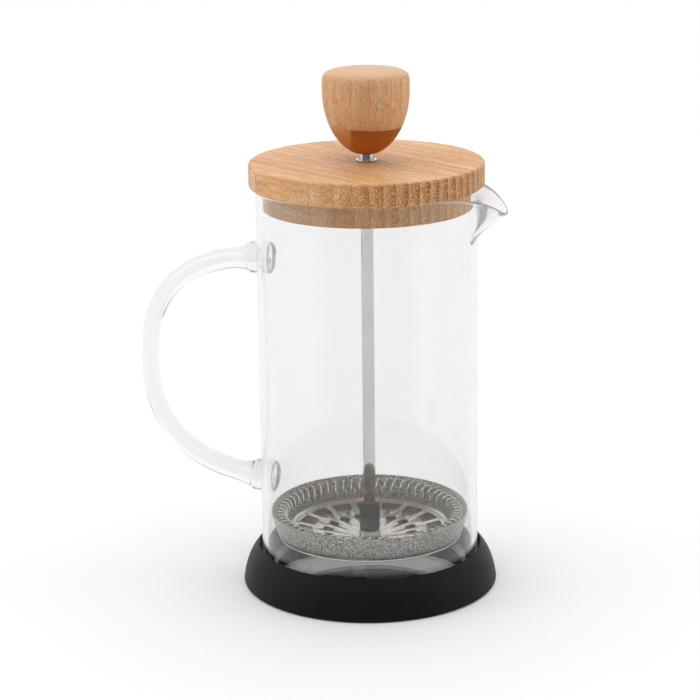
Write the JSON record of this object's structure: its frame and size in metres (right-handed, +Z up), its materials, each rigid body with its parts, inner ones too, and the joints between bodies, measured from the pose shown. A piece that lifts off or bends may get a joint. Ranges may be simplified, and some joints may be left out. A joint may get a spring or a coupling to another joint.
{
  "type": "french press",
  "caption": "Glass french press with a pouring lip, looped glass handle, silicone base, bamboo lid and knob, and a steel rod with a mesh filter.",
  "frame": {"origin": "centre of the silicone base's flat underside, on the axis of the rod", "axes": "+Z up along the rod, +X towards the pouring lip, handle on -X"},
  "size_m": [0.1572, 0.1038, 0.2102],
  "materials": {
    "silicone": "matt black silicone",
    "glass": "clear borosilicate glass",
    "bamboo": "oiled bamboo, fine straight grain",
    "knob_bamboo": "oiled bamboo, grain along the rod",
    "polished_steel": "polished stainless steel",
    "brushed_steel": "satin stainless steel",
    "mesh_steel": "fine woven steel mesh",
    "spring_steel": "bright drawn steel wire",
    "brass": "machined brass"
  },
  "bodies": {
    "base": {"silicone_base": "silicone"},
    "beaker": {"glass_beaker": "glass", "glass_handle": "glass"},
    "lid": {"lid_disc": "bamboo", "lid_plug": "bamboo"},
    "bush": {"guide_bush": "polished_steel"},
    "plunger": {"knob": "knob_bamboo", "knob_insert": "brass", "plunger_rod": "polished_steel", "rod_hub": "brushed_steel"},
    "filter": {"plate_collar": "polished_steel", "spiral_plate": "brushed_steel", "edge_spring": "spring_steel", "filter_mesh": "mesh_steel", "cross_plate": "brushed_steel", "cross_plate_stud": "polished_steel"}
  },
  "joints": [
    {"name": "beaker_pull", "type": "slide", "parent": "base", "child": "beaker", "axis": [0, 0, 1], "range_m": [0, 0.018]},
    {"name": "lid_lift", "type": "slide", "parent": "beaker", "child": "lid", "axis": [0, 0, 1], "range_m": [0, 0.16]},
    {"name": "plunger_turn", "type": "hinge", "parent": "lid", "child": "bush", "pos_m": [0, 0, 0.16], "axis": [0, 0, 1], "continuous": true},
    {"name": "plunger_slide", "type": "slide", "parent": "bush", "child": "plunger", "axis": [0, 0, 1], "range_m": [0, 0.119]},
    {"name": "filter_unscrew", "type": "hinge", "parent": "plunger", "child": "filter", "pos_m": [0, 0, 0.022], "axis": [0, 0, 1], "range_deg": [-1980, 0]}
  ]
}
